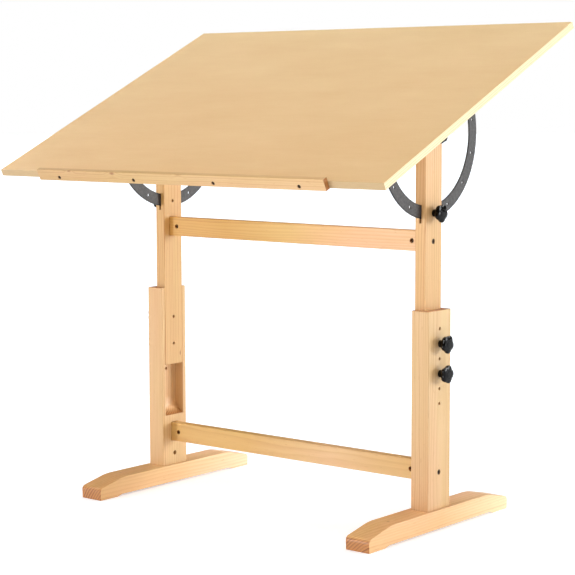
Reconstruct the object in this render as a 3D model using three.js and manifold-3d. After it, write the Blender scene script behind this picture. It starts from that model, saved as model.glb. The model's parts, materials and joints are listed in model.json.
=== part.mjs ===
// Drafting table: a tilting drawing board on a two-post stand of adjustable height.
//
// Millimetres, +Z up, +X to the sitter's right, -Y towards the sitter.
// The origin is on the floor under the centre of the table's bounding box.
// The board is shown tilted by one index step, and the masts one hole below their highest setting.

import * as THREE from 'three';
import { mergeGeometries, mergeVertices } from 'three/addons/utils/BufferGeometryUtils.js';
import Module from 'manifold-3d';

const wasm = await Module();
wasm.setup();

// ---------------------------------------------------------------- driving dimensions

const GAP = 0.3;                    // clearance between neighbouring pieces

// Drawing board
const BOARD_WIDTH = 1067;
const BOARD_DEPTH = 762;
const BOARD_THICK = 16;
const TILT_STEP_DEG = 25;           // one index hole of the tilt arc
const TILT_DEG = TILT_STEP_DEG;     // tilt shown

// Pencil ledge on the board's front edge
const LEDGE_LENGTH = 800;
const LEDGE_THICK = 12;
const LEDGE_LIP = 9;                // how far it stands above the drawing surface
const LEDGE_CORNER = 2;             // radius of its two upper edges
const LEDGE_SCREW_PITCH = 223.5;

// Tilt pivot and tilt arcs
const PIVOT_HEIGHT = 842;           // above the floor, at the setting shown
const PIVOT_DROP = 70;              // pivot below the board's underside
const ARC_INNER = 151;
const ARC_OUTER = 179;
const ARC_PLATE = 3;
const ARC_INDEX_HOLE = 3.3;         // radius
const INDEX_STEPS = 3;              // index holes on each side of the middle one
const STRAP_HEIGHT = 20;
const FLANGE_WIDTH = 24;
const TAB_RADIUS = 18;
const TAB_SPREAD = 16;              // how much wider the tab grows on each side up to the strap

// Masts (inner uprights) and posts (outer uprights)
const UPRIGHT_INNER = 360;          // inner faces of masts and posts, from the middle plane
const MAST_THICK = 26;
const MAST_DEPTH = 60;
const MAST_ABOVE_PIVOT = 35;
const MAST_FOOT = 287;              // height of the mast's lower end
const SLOT_WIDTH = 6;
const SLOT_TOP = 147;               // arc slot, below the pivot
const SLOT_BOTTOM = 186;
const FORK_DEPTH = 24;              // open slot in the mast's head, below the pivot
const POST_THICK = 44;
const POST_DEPTH = 82;
const POST_TOP = 472;
const CHANNEL_END = 206;            // where the channel has its full depth
const CUTTER_RADIUS = 45;           // of the round run-out at the channel's lower end

// Height adjustment
const HOLE_PITCH = 32;
const HOLE_COUNT = 6;
const TOP_HOLE = 433;
const KNOB_HOLES = [1, 3];          // holes that the knobs are in, counted from the top one

// Feet
const FOOT_WIDTH = 60;
const FOOT_LENGTH = 520;
const FOOT_HEIGHT = 45;
const FOOT_END_HEIGHT = 28;
const FOOT_KNEE = 184;              // from the middle to where the top starts to slope
const FOOT_KNEE_BLEND = 16;         // how far the rounding of that knee reaches each way
const FOOT_PAD_START = 203;
const FOOT_RELIEF = 4;
const FOOT_RELIEF_SLOPE = 14;
const FOOT_NOSE = 10;               // radius of the rounded upper end
const FOOT_HOUSING = 8;             // how deep the post stands in the foot

// Rails
const RAIL_HEIGHT = 44;
const RAIL_THICK = 22;
const RAIL_HOUSING = 8;             // how deep each end sits in its upright
const UPPER_RAIL_Z = 617;
const LOWER_RAIL_Z = 125;

// Connector bolts and barrel nuts
const BOLT_RADIUS = 3;
const BOLT_HEAD_RADIUS = 5.6;
const BOLT_HEAD = 5;
const BOLT_SINK = 6;                // depth of the recess that the head sits in
const BOLT_BEYOND_NUT = 7;
const NUT_RADIUS = 5;
const NUT_LENGTH = 12;
const NUT_FROM_FACE = 22;           // barrel nut from the upright's inner face
const FOOT_NUT_Z = 72;

// Star knobs, with a threaded stud moulded in
const KNOB_RADIUS = 20;
const KNOB_WAIST = 16.8;            // radius between the lobes
const KNOB_LOBES = 5;
const KNOB_HEAD = 16;
const HUB_RADIUS = 8;
const HUB_LENGTH = 9;
const STUD_RADIUS = 2.9;            // M6
const STUD_IN_KNOB = 14;
const STUD_HOLE = 3.6;
const INSERT_RADIUS = 4.8;
const INSERT_LONG = 13;

// Screws
const SCREW_RADIUS = 2;
const SCREW_HEAD_RADIUS = 4;
const SCREW_HEAD = 2.6;
const LEDGE_SCREW_LENGTH = 32;
const ARC_SCREW_LENGTH = 14;

// ---------------------------------------------------------------- worked-out places

const tilt = THREE.MathUtils.degToRad(TILT_DEG);
const mastOuter = UPRIGHT_INNER + MAST_THICK;
const postOuter = UPRIGHT_INNER + POST_THICK;
const arcX = UPRIGHT_INNER + MAST_THICK / 2;
const postX = UPRIGHT_INNER + POST_THICK / 2;
const arcMiddle = (ARC_INNER + ARC_OUTER) / 2;
const boardTop = PIVOT_DROP + BOARD_THICK;
const flangeTop = PIVOT_DROP - GAP;
const flangeBottom = flangeTop - ARC_PLATE;
const strapBottom = flangeBottom - STRAP_HEIGHT;
const housingFloor = FOOT_HEIGHT - FOOT_HOUSING;
const holeHeight = (index) => TOP_HOLE - index * HOLE_PITCH;

// The masts stand behind the middle of the bounding box, because the tilted board reaches
// further forward than back.
const ledgeFront = -BOARD_DEPTH / 2 - GAP - LEDGE_THICK;
const reachForward = ledgeFront * Math.cos(tilt) - (boardTop + LEDGE_LIP) * Math.sin(tilt);
const reachBack = (BOARD_DEPTH / 2) * Math.cos(tilt) - PIVOT_DROP * Math.sin(tilt);
const mastY = -(reachForward + reachBack) / 2;

// ---------------------------------------------------------------- materials

const material = (color, roughness, metalness = 0) =>
  new THREE.MeshStandardMaterial({ color, roughness, metalness });
const pine = material(0xedc590, 0.5);
const boardSkin = material(0xe2bd8e, 0.45);
const blackSteel = material(0x4b4a49, 0.6, 0.5);
const blackPlastic = material(0x111111, 0.25);
const darkScrew = material(0x3a2a1c, 0.5, 0.7);
const zinc = material(0xb4b4b0, 0.35, 0.9);

// ---------------------------------------------------------------- solids

// Keeps only positions, so that shared corners merge.
function bare(geometry) {
  const clean = geometry.index ? geometry.toNonIndexed() : geometry.clone();
  for (const name of Object.keys(clean.attributes)) {
    if (name !== 'position') clean.deleteAttribute(name);
  }
  return clean;
}

function solid(geometry) {
  const merged = mergeVertices(bare(geometry), 1e-4);
  return new wasm.Manifold(new wasm.Mesh({
    numProp: 3,
    vertProperties: new Float32Array(merged.attributes.position.array),
    triVerts: new Uint32Array(merged.index.array),
  }));
}

function geometryOf(manifold) {
  const mesh = manifold.getMesh();
  const geometry = new THREE.BufferGeometry();
  geometry.setAttribute('position', new THREE.BufferAttribute(mesh.vertProperties, 3));
  geometry.setIndex(new THREE.BufferAttribute(mesh.triVerts, 1));
  const flat = geometry.toNonIndexed();
  flat.computeVertexNormals();
  return flat;
}

function carve(geometry, cuts) {
  let result = solid(geometry);
  for (const cut of cuts) result = result.subtract(solid(cut));
  return geometryOf(result);
}

function fuse(geometries) {
  let result = solid(geometries[0]);
  for (const geometry of geometries.slice(1)) result = result.add(solid(geometry));
  return geometryOf(result);
}

// A box from its low corner to its high corner.
function block(low, high) {
  const geometry = new THREE.BoxGeometry(high[0] - low[0], high[1] - low[1], high[2] - low[2]);
  geometry.translate((low[0] + high[0]) / 2, (low[1] + high[1]) / 2, (low[2] + high[2]) / 2);
  return geometry;
}

// A round bar along an axis, from one place on the axis to another.
function bar(axis, radius, from, to, centre = [0, 0, 0], sides = 16) {
  const geometry = new THREE.CylinderGeometry(radius, radius, to - from, sides);
  geometry.translate(0, (from + to) / 2, 0);
  if (axis === 'x') geometry.rotateZ(-Math.PI / 2);
  if (axis === 'z') geometry.rotateX(Math.PI / 2);
  geometry.translate(...centre);
  return geometry;
}

// An outline drawn in (y, z) and given a thickness along X.
function extrudeAlongX(shape, from, to, curveSegments = 12) {
  const geometry = new THREE.ExtrudeGeometry(shape, {
    depth: to - from,
    bevelEnabled: false,
    curveSegments,
  });
  geometry.rotateX(Math.PI / 2);
  geometry.rotateZ(Math.PI / 2);
  geometry.translate(from, 0, 0);
  return geometry;
}

// An outline drawn in (x, z) and given a thickness along Y.
function extrudeAlongY(shape, from, to, curveSegments = 12) {
  const geometry = new THREE.ExtrudeGeometry(shape, {
    depth: to - from,
    bevelEnabled: false,
    curveSegments,
  });
  geometry.rotateX(Math.PI / 2);
  geometry.translate(0, to, 0);
  return geometry;
}

function piece(name, geometry, finish) {
  const mesh = new THREE.Mesh(geometry, finish);
  mesh.name = name;
  return mesh;
}

// ---------------------------------------------------------------- board and ledge
// The board's own frame: X across, Y up the board, Z out of it, with the pivot at the origin.

const ledgeScrewXs = [-1.5, -0.5, 0.5, 1.5].map((step) => step * LEDGE_SCREW_PITCH);
const ledgeScrewZ = PIVOT_DROP + BOARD_THICK / 2;
const ledgeBack = -BOARD_DEPTH / 2 - GAP;
const screwHeadSeat = ledgeFront + SCREW_HEAD + 0.6;

function drawingBoard() {
  const cuts = ledgeScrewXs.map((x) =>
    bar('y', SCREW_RADIUS + GAP, -BOARD_DEPTH / 2 - 1, screwHeadSeat + LEDGE_SCREW_LENGTH + 1,
      [x, 0, ledgeScrewZ], 10));
  for (const side of [-1, 1]) {
    for (const y of arcScrewYs) {
      cuts.push(bar('z', SCREW_RADIUS + GAP, PIVOT_DROP - 1, flangeBottom + ARC_SCREW_LENGTH + 1,
        [side * arcScrewX, y, 0], 10));
    }
  }
  const slab = block(
    [-BOARD_WIDTH / 2, -BOARD_DEPTH / 2, PIVOT_DROP],
    [BOARD_WIDTH / 2, BOARD_DEPTH / 2, boardTop]);
  return piece('drawing_board', carve(slab, cuts), boardSkin);
}

function pencilLedge() {
  const low = PIVOT_DROP;
  const high = boardTop + LEDGE_LIP;
  const outline = new THREE.Shape();
  outline.moveTo(ledgeBack, low);
  outline.lineTo(ledgeBack, high - LEDGE_CORNER);
  outline.absarc(ledgeBack - LEDGE_CORNER, high - LEDGE_CORNER, LEDGE_CORNER, 0, Math.PI / 2, false);
  outline.absarc(ledgeFront + LEDGE_CORNER, high - LEDGE_CORNER, LEDGE_CORNER,
    Math.PI / 2, Math.PI, false);
  outline.lineTo(ledgeFront, low);
  outline.closePath();
  const strip = extrudeAlongX(outline, -LEDGE_LENGTH / 2, LEDGE_LENGTH / 2, 4);
  const cuts = ledgeScrewXs.flatMap((x) => [
    bar('y', SCREW_RADIUS + GAP, ledgeFront - 1, ledgeBack + 1, [x, 0, ledgeScrewZ], 10),
    bar('y', SCREW_HEAD_RADIUS + GAP, ledgeFront - 1, screwHeadSeat + GAP, [x, 0, ledgeScrewZ], 14),
  ]);
  return piece('pencil_ledge', carve(strip, cuts), pine);
}

// A wood screw with its head at the origin and its shank along +Y.
function screwGeometry(length) {
  const profile = [
    [0, -SCREW_HEAD],
    [SCREW_HEAD_RADIUS, -SCREW_HEAD],
    [SCREW_HEAD_RADIUS, -0.5],
    [SCREW_RADIUS, 0],
    [SCREW_RADIUS, length - 4],
    [0, length],
  ];
  return new THREE.LatheGeometry(profile.map(([r, y]) => new THREE.Vector2(r, y)), 12);
}

function ledgeScrews() {
  return ledgeScrewXs.map((x, index) => {
    const screw = piece(`ledge_screw_${index + 1}`, screwGeometry(LEDGE_SCREW_LENGTH), darkScrew);
    screw.position.set(x, screwHeadSeat, ledgeScrewZ);
    return screw;
  });
}

// ---------------------------------------------------------------- tilt arcs

const arcScrewX = arcX + ARC_PLATE / 2 + FLANGE_WIDTH / 2;
const arcScrewYs = [-140, -60, 60, 140];

// Flat plate: a round arc about the pivot, a straight strap under the board, and a tab down to
// the pivot. Angles are measured from the pivot in the (y, z) plane.
function arcPlateShape() {
  const outerEnd = Math.asin(flangeTop / ARC_OUTER);
  const innerEnd = Math.asin(strapBottom / ARC_INNER);
  const tabTop = TAB_RADIUS + TAB_SPREAD;

  const plate = new THREE.Shape();
  plate.absarc(0, 0, ARC_OUTER, Math.PI - outerEnd, 2 * Math.PI + outerEnd, false);
  plate.closePath();

  const window = new THREE.Path();
  window.absarc(0, 0, ARC_INNER, Math.PI - innerEnd, 2 * Math.PI + innerEnd, false);
  window.lineTo(tabTop, strapBottom);
  window.lineTo(TAB_RADIUS, 0);
  window.absarc(0, 0, TAB_RADIUS, 0, Math.PI, true);
  window.lineTo(-tabTop, strapBottom);
  window.closePath();
  plate.holes.push(window);

  const pivotHole = new THREE.Path();
  pivotHole.absarc(0, 0, STUD_HOLE, 0, 2 * Math.PI, true);
  plate.holes.push(pivotHole);

  for (let step = -INDEX_STEPS; step <= INDEX_STEPS; step += 1) {
    const angle = -Math.PI / 2 + THREE.MathUtils.degToRad(step * TILT_STEP_DEG);
    const hole = new THREE.Path();
    hole.absarc(arcMiddle * Math.cos(angle), arcMiddle * Math.sin(angle), ARC_INDEX_HOLE,
      0, 2 * Math.PI, true);
    plate.holes.push(hole);
  }
  return plate;
}

function tiltArc(side) {
  const plate = extrudeAlongX(arcPlateShape(), -ARC_PLATE / 2, ARC_PLATE / 2, 20);
  const reach = Math.sqrt(ARC_OUTER ** 2 - flangeTop ** 2) - 0.5;
  const flange = block(
    [0, -reach, flangeBottom],
    [ARC_PLATE / 2 + FLANGE_WIDTH, reach, flangeTop]);
  const holes = arcScrewYs.map((y) =>
    bar('z', SCREW_RADIUS + GAP, flangeBottom - 1, flangeTop + 1,
      [arcScrewX - arcX, y, 0], 10));
  const geometry = carve(fuse([plate, flange]), holes);
  if (side < 0) geometry.rotateZ(Math.PI);
  geometry.translate(side * arcX, 0, 0);
  return piece(side < 0 ? 'tilt_arc_left' : 'tilt_arc_right', geometry, blackSteel);
}

function arcScrews(side) {
  const label = side < 0 ? 'left' : 'right';
  return arcScrewYs.map((y, index) => {
    const geometry = screwGeometry(ARC_SCREW_LENGTH).rotateX(Math.PI / 2);
    const screw = piece(`arc_screw_${label}_${index + 1}`, geometry, darkScrew);
    screw.position.set(side * arcScrewX, y, flangeBottom - GAP);
    return screw;
  });
}

// ---------------------------------------------------------------- masts

const pocket = (radius, from, to, z) => bar('x', radius, from, to, [0, 0, z]);

// Right-hand mast in the stand's frame; the left one is its mirror image.
function mastGeometry() {
  const slotLow = arcX - SLOT_WIDTH / 2;
  const slotHigh = arcX + SLOT_WIDTH / 2;
  const top = PIVOT_HEIGHT + MAST_ABOVE_PIVOT;
  const beyond = MAST_DEPTH / 2 + 1;
  const stick = block(
    [UPRIGHT_INNER, -MAST_DEPTH / 2, MAST_FOOT],
    [mastOuter, MAST_DEPTH / 2, top]);
  const cuts = [
    block([slotLow, -beyond, PIVOT_HEIGHT - SLOT_BOTTOM], [slotHigh, beyond, PIVOT_HEIGHT - SLOT_TOP]),
    block([slotLow, -beyond, PIVOT_HEIGHT - FORK_DEPTH], [slotHigh, beyond, top + 1]),
    railHousing(UPPER_RAIL_Z),
    pocket(BOLT_RADIUS + GAP, UPRIGHT_INNER - 1, mastOuter + 1, UPPER_RAIL_Z),
    pocket(BOLT_HEAD_RADIUS + GAP, mastOuter - BOLT_SINK, mastOuter + 1, UPPER_RAIL_Z),
  ];
  for (const z of [PIVOT_HEIGHT, PIVOT_HEIGHT - arcMiddle]) {
    cuts.push(pocket(STUD_HOLE, UPRIGHT_INNER - 1, mastOuter + 1, z));
    cuts.push(pocket(INSERT_RADIUS + GAP, slotHigh - 1, mastOuter + 1, z));
  }
  for (const z of KNOB_HOLES.map(holeHeight)) {
    cuts.push(pocket(STUD_HOLE, UPRIGHT_INNER - 1, mastOuter + 1, z));
    cuts.push(pocket(INSERT_RADIUS + GAP, mastOuter - INSERT_LONG - GAP, mastOuter + 1, z));
  }
  return carve(stick, cuts);
}

function railHousing(z) {
  const halfThick = RAIL_THICK / 2 + GAP;
  const halfHeight = RAIL_HEIGHT / 2 + GAP;
  return block(
    [UPRIGHT_INNER - 1, -halfThick, z - halfHeight],
    [UPRIGHT_INNER + RAIL_HOUSING, halfThick, z + halfHeight]);
}

// Threaded insert: a plain sleeve along X, from one place to another.
function insertGeometry(from, to) {
  return carve(bar('x', INSERT_RADIUS, from, to), [bar('x', STUD_HOLE, from - 1, to + 1)]);
}

function inserts(side) {
  const label = side < 0 ? 'left' : 'right';
  const shortFrom = arcX + SLOT_WIDTH / 2 + GAP;
  const end = mastOuter - GAP;
  const rows = [
    ['pivot_insert', shortFrom, PIVOT_HEIGHT],
    ['arc_insert', shortFrom, PIVOT_HEIGHT - arcMiddle],
    ['height_insert_upper', mastOuter - INSERT_LONG, holeHeight(KNOB_HOLES[0])],
    ['height_insert_lower', mastOuter - INSERT_LONG, holeHeight(KNOB_HOLES[1])],
  ];
  return rows.map(([name, from, z]) => {
    const sleeve = piece(`${name}_${label}`, insertGeometry(from, end), zinc);
    sleeve.position.z = z;
    if (side < 0) sleeve.rotation.z = Math.PI;
    return sleeve;
  });
}

// ---------------------------------------------------------------- posts and feet

// Cutter for the channel that the mast slides in: full depth down to CHANNEL_END, then a round
// run-out up to the inner face.
function channelCutter() {
  const floor = mastOuter + GAP;
  const centre = floor - CUTTER_RADIUS;
  const sweep = Math.acos((UPRIGHT_INNER - 1 - centre) / CUTTER_RADIUS);
  const outline = new THREE.Shape();
  outline.moveTo(UPRIGHT_INNER - 1, POST_TOP + 1);
  outline.lineTo(UPRIGHT_INNER - 1, CHANNEL_END - CUTTER_RADIUS * Math.sin(sweep));
  outline.absarc(centre, CHANNEL_END, CUTTER_RADIUS, -sweep, 0, false);
  outline.lineTo(floor, POST_TOP + 1);
  outline.closePath();
  const half = MAST_DEPTH / 2 + GAP;
  return extrudeAlongY(outline, -half, half, 16);
}

// Right-hand post; the left one is its mirror image.
function postGeometry() {
  const stick = block(
    [UPRIGHT_INNER, -POST_DEPTH / 2, housingFloor + GAP],
    [postOuter, POST_DEPTH / 2, POST_TOP]);
  const cuts = [
    channelCutter(),
    railHousing(LOWER_RAIL_Z),
    pocket(BOLT_RADIUS + GAP, UPRIGHT_INNER - 1, postOuter + 1, LOWER_RAIL_Z),
    pocket(BOLT_HEAD_RADIUS + GAP, postOuter - BOLT_SINK, postOuter + 1, LOWER_RAIL_Z),
    bar('z', BOLT_RADIUS + GAP, housingFloor - 1, FOOT_NUT_Z + BOLT_BEYOND_NUT + 2, [postX, 0, 0]),
    pocket(NUT_RADIUS + GAP, UPRIGHT_INNER - 1, postX + NUT_LENGTH / 2 + GAP, FOOT_NUT_Z),
  ];
  for (let index = 0; index < HOLE_COUNT; index += 1) {
    cuts.push(pocket(STUD_HOLE, mastOuter - 1, postOuter + 1, holeHeight(index)));
  }
  return carve(stick, cuts);
}

// Side outline of a foot: two pads, a shallow relief between them, and a top that slopes down
// to a rounded nose at each end.
function footShape() {
  const half = FOOT_LENGTH / 2;
  const slopeStart = new THREE.Vector2(FOOT_KNEE, FOOT_HEIGHT);
  const slopeEnd = new THREE.Vector2(half, FOOT_END_HEIGHT);
  const slopeLength = slopeEnd.distanceTo(slopeStart);
  const noseTop = slopeEnd.clone().lerp(slopeStart, FOOT_NOSE / slopeLength);
  const kneeEnd = slopeStart.clone().lerp(slopeEnd, FOOT_KNEE_BLEND / slopeLength);
  const kneeStart = FOOT_KNEE - FOOT_KNEE_BLEND;
  const outline = new THREE.Shape();
  outline.moveTo(-half, 0);
  outline.lineTo(-FOOT_PAD_START, 0);
  outline.lineTo(-FOOT_PAD_START + FOOT_RELIEF_SLOPE, FOOT_RELIEF);
  outline.lineTo(FOOT_PAD_START - FOOT_RELIEF_SLOPE, FOOT_RELIEF);
  outline.lineTo(FOOT_PAD_START, 0);
  outline.lineTo(half, 0);
  outline.lineTo(half, FOOT_END_HEIGHT - FOOT_NOSE);
  outline.quadraticCurveTo(half, FOOT_END_HEIGHT, noseTop.x, noseTop.y);
  outline.lineTo(kneeEnd.x, kneeEnd.y);
  outline.quadraticCurveTo(FOOT_KNEE, FOOT_HEIGHT, kneeStart, FOOT_HEIGHT);
  outline.lineTo(-kneeStart, FOOT_HEIGHT);
  outline.quadraticCurveTo(-FOOT_KNEE, FOOT_HEIGHT, -kneeEnd.x, kneeEnd.y);
  outline.lineTo(-noseTop.x, noseTop.y);
  outline.quadraticCurveTo(-half, FOOT_END_HEIGHT, -half, FOOT_END_HEIGHT - FOOT_NOSE);
  outline.closePath();
  return outline;
}

// Right-hand foot; the left one is its mirror image.
function footGeometry() {
  const beam = extrudeAlongX(footShape(), postX - FOOT_WIDTH / 2, postX + FOOT_WIDTH / 2, 6);
  const socket = block(
    [UPRIGHT_INNER - GAP, -POST_DEPTH / 2 - GAP, housingFloor],
    [postOuter + GAP, POST_DEPTH / 2 + GAP, FOOT_HEIGHT + 1]);
  const headSeat = FOOT_RELIEF + BOLT_HEAD + 3;
  return carve(beam, [
    socket,
    bar('z', BOLT_RADIUS + GAP, 0, FOOT_HEIGHT, [postX, 0, 0]),
    bar('z', BOLT_HEAD_RADIUS + GAP, -1, headSeat, [postX, 0, 0]),
  ]);
}

// ---------------------------------------------------------------- rails, bolts, barrel nuts

function railGeometry(z) {
  const half = UPRIGHT_INNER + RAIL_HOUSING - GAP;
  const beam = block(
    [-half, -RAIL_THICK / 2, z - RAIL_HEIGHT / 2],
    [half, RAIL_THICK / 2, z + RAIL_HEIGHT / 2]);
  const nutX = UPRIGHT_INNER - NUT_FROM_FACE;
  const blindEnd = nutX - BOLT_BEYOND_NUT - 2;
  const nutMouth = -RAIL_THICK / 2 - 1;
  const nutEnd = NUT_LENGTH / 2 + GAP;
  const cuts = [];
  for (const side of [-1, 1]) {
    const ends = [side * blindEnd, side * (half + 1)].sort((a, b) => a - b);
    cuts.push(bar('x', BOLT_RADIUS + GAP, ends[0], ends[1], [0, 0, z]));
    cuts.push(bar('y', NUT_RADIUS + GAP, nutMouth, nutEnd, [side * nutX, 0, z]));
  }
  return carve(beam, cuts);
}

// Connector bolt: head at the origin side, shank along +Y.
function boltGeometry(length) {
  const socket = 3;
  const socketRadius = 2.5;
  const profile = [
    [0, -BOLT_HEAD + socket],
    [socketRadius, -BOLT_HEAD + socket],
    [socketRadius, -BOLT_HEAD],
    [BOLT_HEAD_RADIUS, -BOLT_HEAD],
    [BOLT_HEAD_RADIUS, 0],
    [BOLT_RADIUS, 0],
    [BOLT_RADIUS, length],
    [0, length],
  ];
  return new THREE.LatheGeometry(profile.map(([r, y]) => new THREE.Vector2(r, y)), 12);
}

function railBolt(name, side, headSeat, z) {
  const length = headSeat - UPRIGHT_INNER + NUT_FROM_FACE + BOLT_BEYOND_NUT;
  const bolt = piece(name, boltGeometry(length).rotateZ(side * Math.PI / 2), darkScrew);
  bolt.position.set(side * headSeat, 0, z);
  return bolt;
}

// Barrel nut with its cross hole, lying along +Y from the origin. The hole runs along X or Z.
function barrelNutGeometry(holeAxis) {
  const barrel = bar('y', NUT_RADIUS, 0, NUT_LENGTH);
  const reach = NUT_RADIUS + 1;
  const hole = bar(holeAxis, BOLT_RADIUS + GAP, -reach, reach, [0, NUT_LENGTH / 2, 0], 12);
  return carve(barrel, [hole]);
}

function railNut(name, side, z) {
  const nut = piece(name, barrelNutGeometry('x'), zinc);
  nut.position.set(side * (UPRIGHT_INNER - NUT_FROM_FACE), -NUT_LENGTH / 2, z);
  return nut;
}

function footBolt(name, side) {
  const seat = FOOT_RELIEF + BOLT_HEAD + 3 - GAP;
  const length = FOOT_NUT_Z + BOLT_BEYOND_NUT - seat;
  const bolt = piece(name, boltGeometry(length).rotateX(Math.PI / 2), zinc);
  bolt.position.set(side * postX, 0, seat);
  return bolt;
}

function footNut(name, side) {
  const geometry = barrelNutGeometry('z').rotateZ(-side * Math.PI / 2);
  const nut = piece(name, geometry, zinc);
  nut.position.set(side * (postX - NUT_LENGTH / 2), 0, FOOT_NUT_Z);
  return nut;
}

// ---------------------------------------------------------------- star knobs

// Lobed outline, with a smooth wave between the lobe radius and the waist radius.
function starShape(radius, waist) {
  const pointCount = KNOB_LOBES * 8;
  const middle = (radius + waist) / 2;
  const swing = (radius - waist) / 2;
  const points = [];
  for (let index = 0; index < pointCount; index += 1) {
    const angle = (index / pointCount) * 2 * Math.PI;
    const reach = middle + swing * Math.cos(KNOB_LOBES * angle);
    points.push(new THREE.Vector2(reach * Math.cos(angle), reach * Math.sin(angle)));
  }
  return new THREE.Shape(points);
}

// Knob with its hub at the origin and its head towards +Z.
function knobGeometry() {
  const head = new THREE.ExtrudeGeometry(starShape(KNOB_RADIUS, KNOB_WAIST), {
    depth: KNOB_HEAD,
    bevelEnabled: false,
  });
  head.translate(0, 0, HUB_LENGTH);
  const hub = bar('z', HUB_RADIUS, 0, HUB_LENGTH + 2, [0, 0, 0], 20);
  return carve(fuse([head, hub]), [bar('z', STUD_RADIUS + GAP, -1, STUD_IN_KNOB + GAP)]);
}

const knobTemplate = knobGeometry();

// A knob and its stud, standing out from a face at faceX. studTip is where the stud ends.
function knobPair(name, side, faceX, studTip, z) {
  const label = side < 0 ? 'left' : 'right';
  const turn = side * Math.PI / 2;
  const hubFace = faceX + GAP;
  const knob = piece(`${name}_knob_${label}`, knobTemplate, blackPlastic);
  knob.rotation.y = turn;
  knob.position.set(side * hubFace, 0, z);
  const shank = bar('z', STUD_RADIUS, studTip - hubFace, STUD_IN_KNOB, [0, 0, 0], 12);
  const stud = piece(`${name}_stud_${label}`, shank, zinc);
  stud.rotation.y = turn;
  stud.position.copy(knob.position);
  return [knob, stud];
}

function knobs(side) {
  const arcTip = arcX + ARC_PLATE / 2 + GAP;
  const pivotTip = UPRIGHT_INNER + 1;
  const heightTip = mastOuter + GAP;
  return [
    ...knobPair('pivot', side, mastOuter, pivotTip, PIVOT_HEIGHT),
    ...knobPair('arc', side, mastOuter, arcTip, PIVOT_HEIGHT - arcMiddle),
    ...knobPair('height_upper', side, postOuter, heightTip, holeHeight(KNOB_HOLES[0])),
    ...knobPair('height_lower', side, postOuter, heightTip, holeHeight(KNOB_HOLES[1])),
  ];
}

// ---------------------------------------------------------------- assembly

// Half a turn about Z makes the left-hand copy of an upright or a foot, which is its own mirror
// image front to back.
function uprightPair(name, geometry, finish) {
  const right = piece(`${name}_right`, geometry, finish);
  const left = piece(`${name}_left`, geometry, finish);
  left.rotation.z = Math.PI;
  return [left, right];
}

const top = new THREE.Group();
top.position.set(0, mastY, PIVOT_HEIGHT);
top.rotation.x = tilt;
top.add(drawingBoard(), pencilLedge(), ...ledgeScrews());

const stand = new THREE.Group();
stand.position.y = mastY;
stand.add(
  ...uprightPair('foot', footGeometry(), pine),
  ...uprightPair('post', postGeometry(), pine),
  ...uprightPair('mast', mastGeometry(), pine),
  piece('lower_rail', railGeometry(LOWER_RAIL_Z), pine),
  piece('upper_rail', railGeometry(UPPER_RAIL_Z), pine));

for (const side of [-1, 1]) {
  const label = side < 0 ? 'left' : 'right';
  top.add(tiltArc(side), ...arcScrews(side));
  stand.add(
    ...inserts(side),
    ...knobs(side),
    railBolt(`lower_rail_bolt_${label}`, side, postOuter - BOLT_SINK + GAP, LOWER_RAIL_Z),
    railBolt(`upper_rail_bolt_${label}`, side, mastOuter - BOLT_SINK + GAP, UPPER_RAIL_Z),
    railNut(`lower_rail_nut_${label}`, side, LOWER_RAIL_Z),
    railNut(`upper_rail_nut_${label}`, side, UPPER_RAIL_Z),
    footBolt(`foot_bolt_${label}`, side),
    footNut(`foot_nut_${label}`, side));
}

const table = new THREE.Group();
table.add(stand, top);

export default table;
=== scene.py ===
"""Looks of the drafting table: lacquered pine stand, plain drawing board, black steel and knobs.

Everything is in metres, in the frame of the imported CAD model: +Z up, +X to the sitter's right,
-Y towards the sitter, origin on the floor.
"""

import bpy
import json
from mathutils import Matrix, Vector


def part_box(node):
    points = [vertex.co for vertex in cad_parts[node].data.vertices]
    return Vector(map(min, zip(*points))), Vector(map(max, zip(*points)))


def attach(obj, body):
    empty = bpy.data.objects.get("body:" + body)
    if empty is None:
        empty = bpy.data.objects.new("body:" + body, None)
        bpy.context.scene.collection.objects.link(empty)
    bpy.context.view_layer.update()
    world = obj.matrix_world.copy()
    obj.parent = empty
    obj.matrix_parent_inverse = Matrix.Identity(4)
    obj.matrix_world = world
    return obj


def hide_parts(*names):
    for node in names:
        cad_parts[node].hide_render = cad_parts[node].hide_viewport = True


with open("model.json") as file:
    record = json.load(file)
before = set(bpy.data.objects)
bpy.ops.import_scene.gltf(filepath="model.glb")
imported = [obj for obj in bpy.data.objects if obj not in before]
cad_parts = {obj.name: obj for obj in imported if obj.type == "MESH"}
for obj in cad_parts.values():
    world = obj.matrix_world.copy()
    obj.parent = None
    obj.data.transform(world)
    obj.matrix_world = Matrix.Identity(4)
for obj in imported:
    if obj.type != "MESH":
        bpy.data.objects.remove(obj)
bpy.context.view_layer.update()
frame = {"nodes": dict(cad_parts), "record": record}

import json
import math

import bmesh
import bpy
from mathutils import Matrix, Vector

MM = 0.001
SIGNS = {"left": -1, "right": 1}
BODIES = frame["record"]["behaviour"]["bodies"]
BODY_OF = {node: body for body, nodes in BODIES.items() for node in nodes}
SLOT_OF = {part["node"]: part["material_slot"] for part in frame["record"]["subparts"]}

# How far the board is tilted, and the inner and outer radius of the tilt arcs' rings about its pivot.
TILT = math.radians(25)
ARC_RING = (151 * MM, 179 * MM)

# Edges that turn more than this are rounded off, and stay sharp in the shading where they aren't.
CREASE = math.radians(32)


def joint_record(name):
    """What the CAD record says of a joint."""
    for joint in frame["record"]["behaviour"]["joints"]:
        if joint["name"] == name:
            return joint
    raise KeyError(name)


# From the frame to the board's own: origin at the tilt pivot, +Z out of the drawing face.
PIVOT = Vector(joint_record("tilt")["pos_m"])
TO_BOARD = Matrix.Rotation(-TILT, 4, "X") @ Matrix.Translation(-PIVOT)


def sign_of(node):
    """-1 for a node on the left, 1 for one on the right."""
    return SIGNS["left" if node.endswith("left") else "right"]


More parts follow.
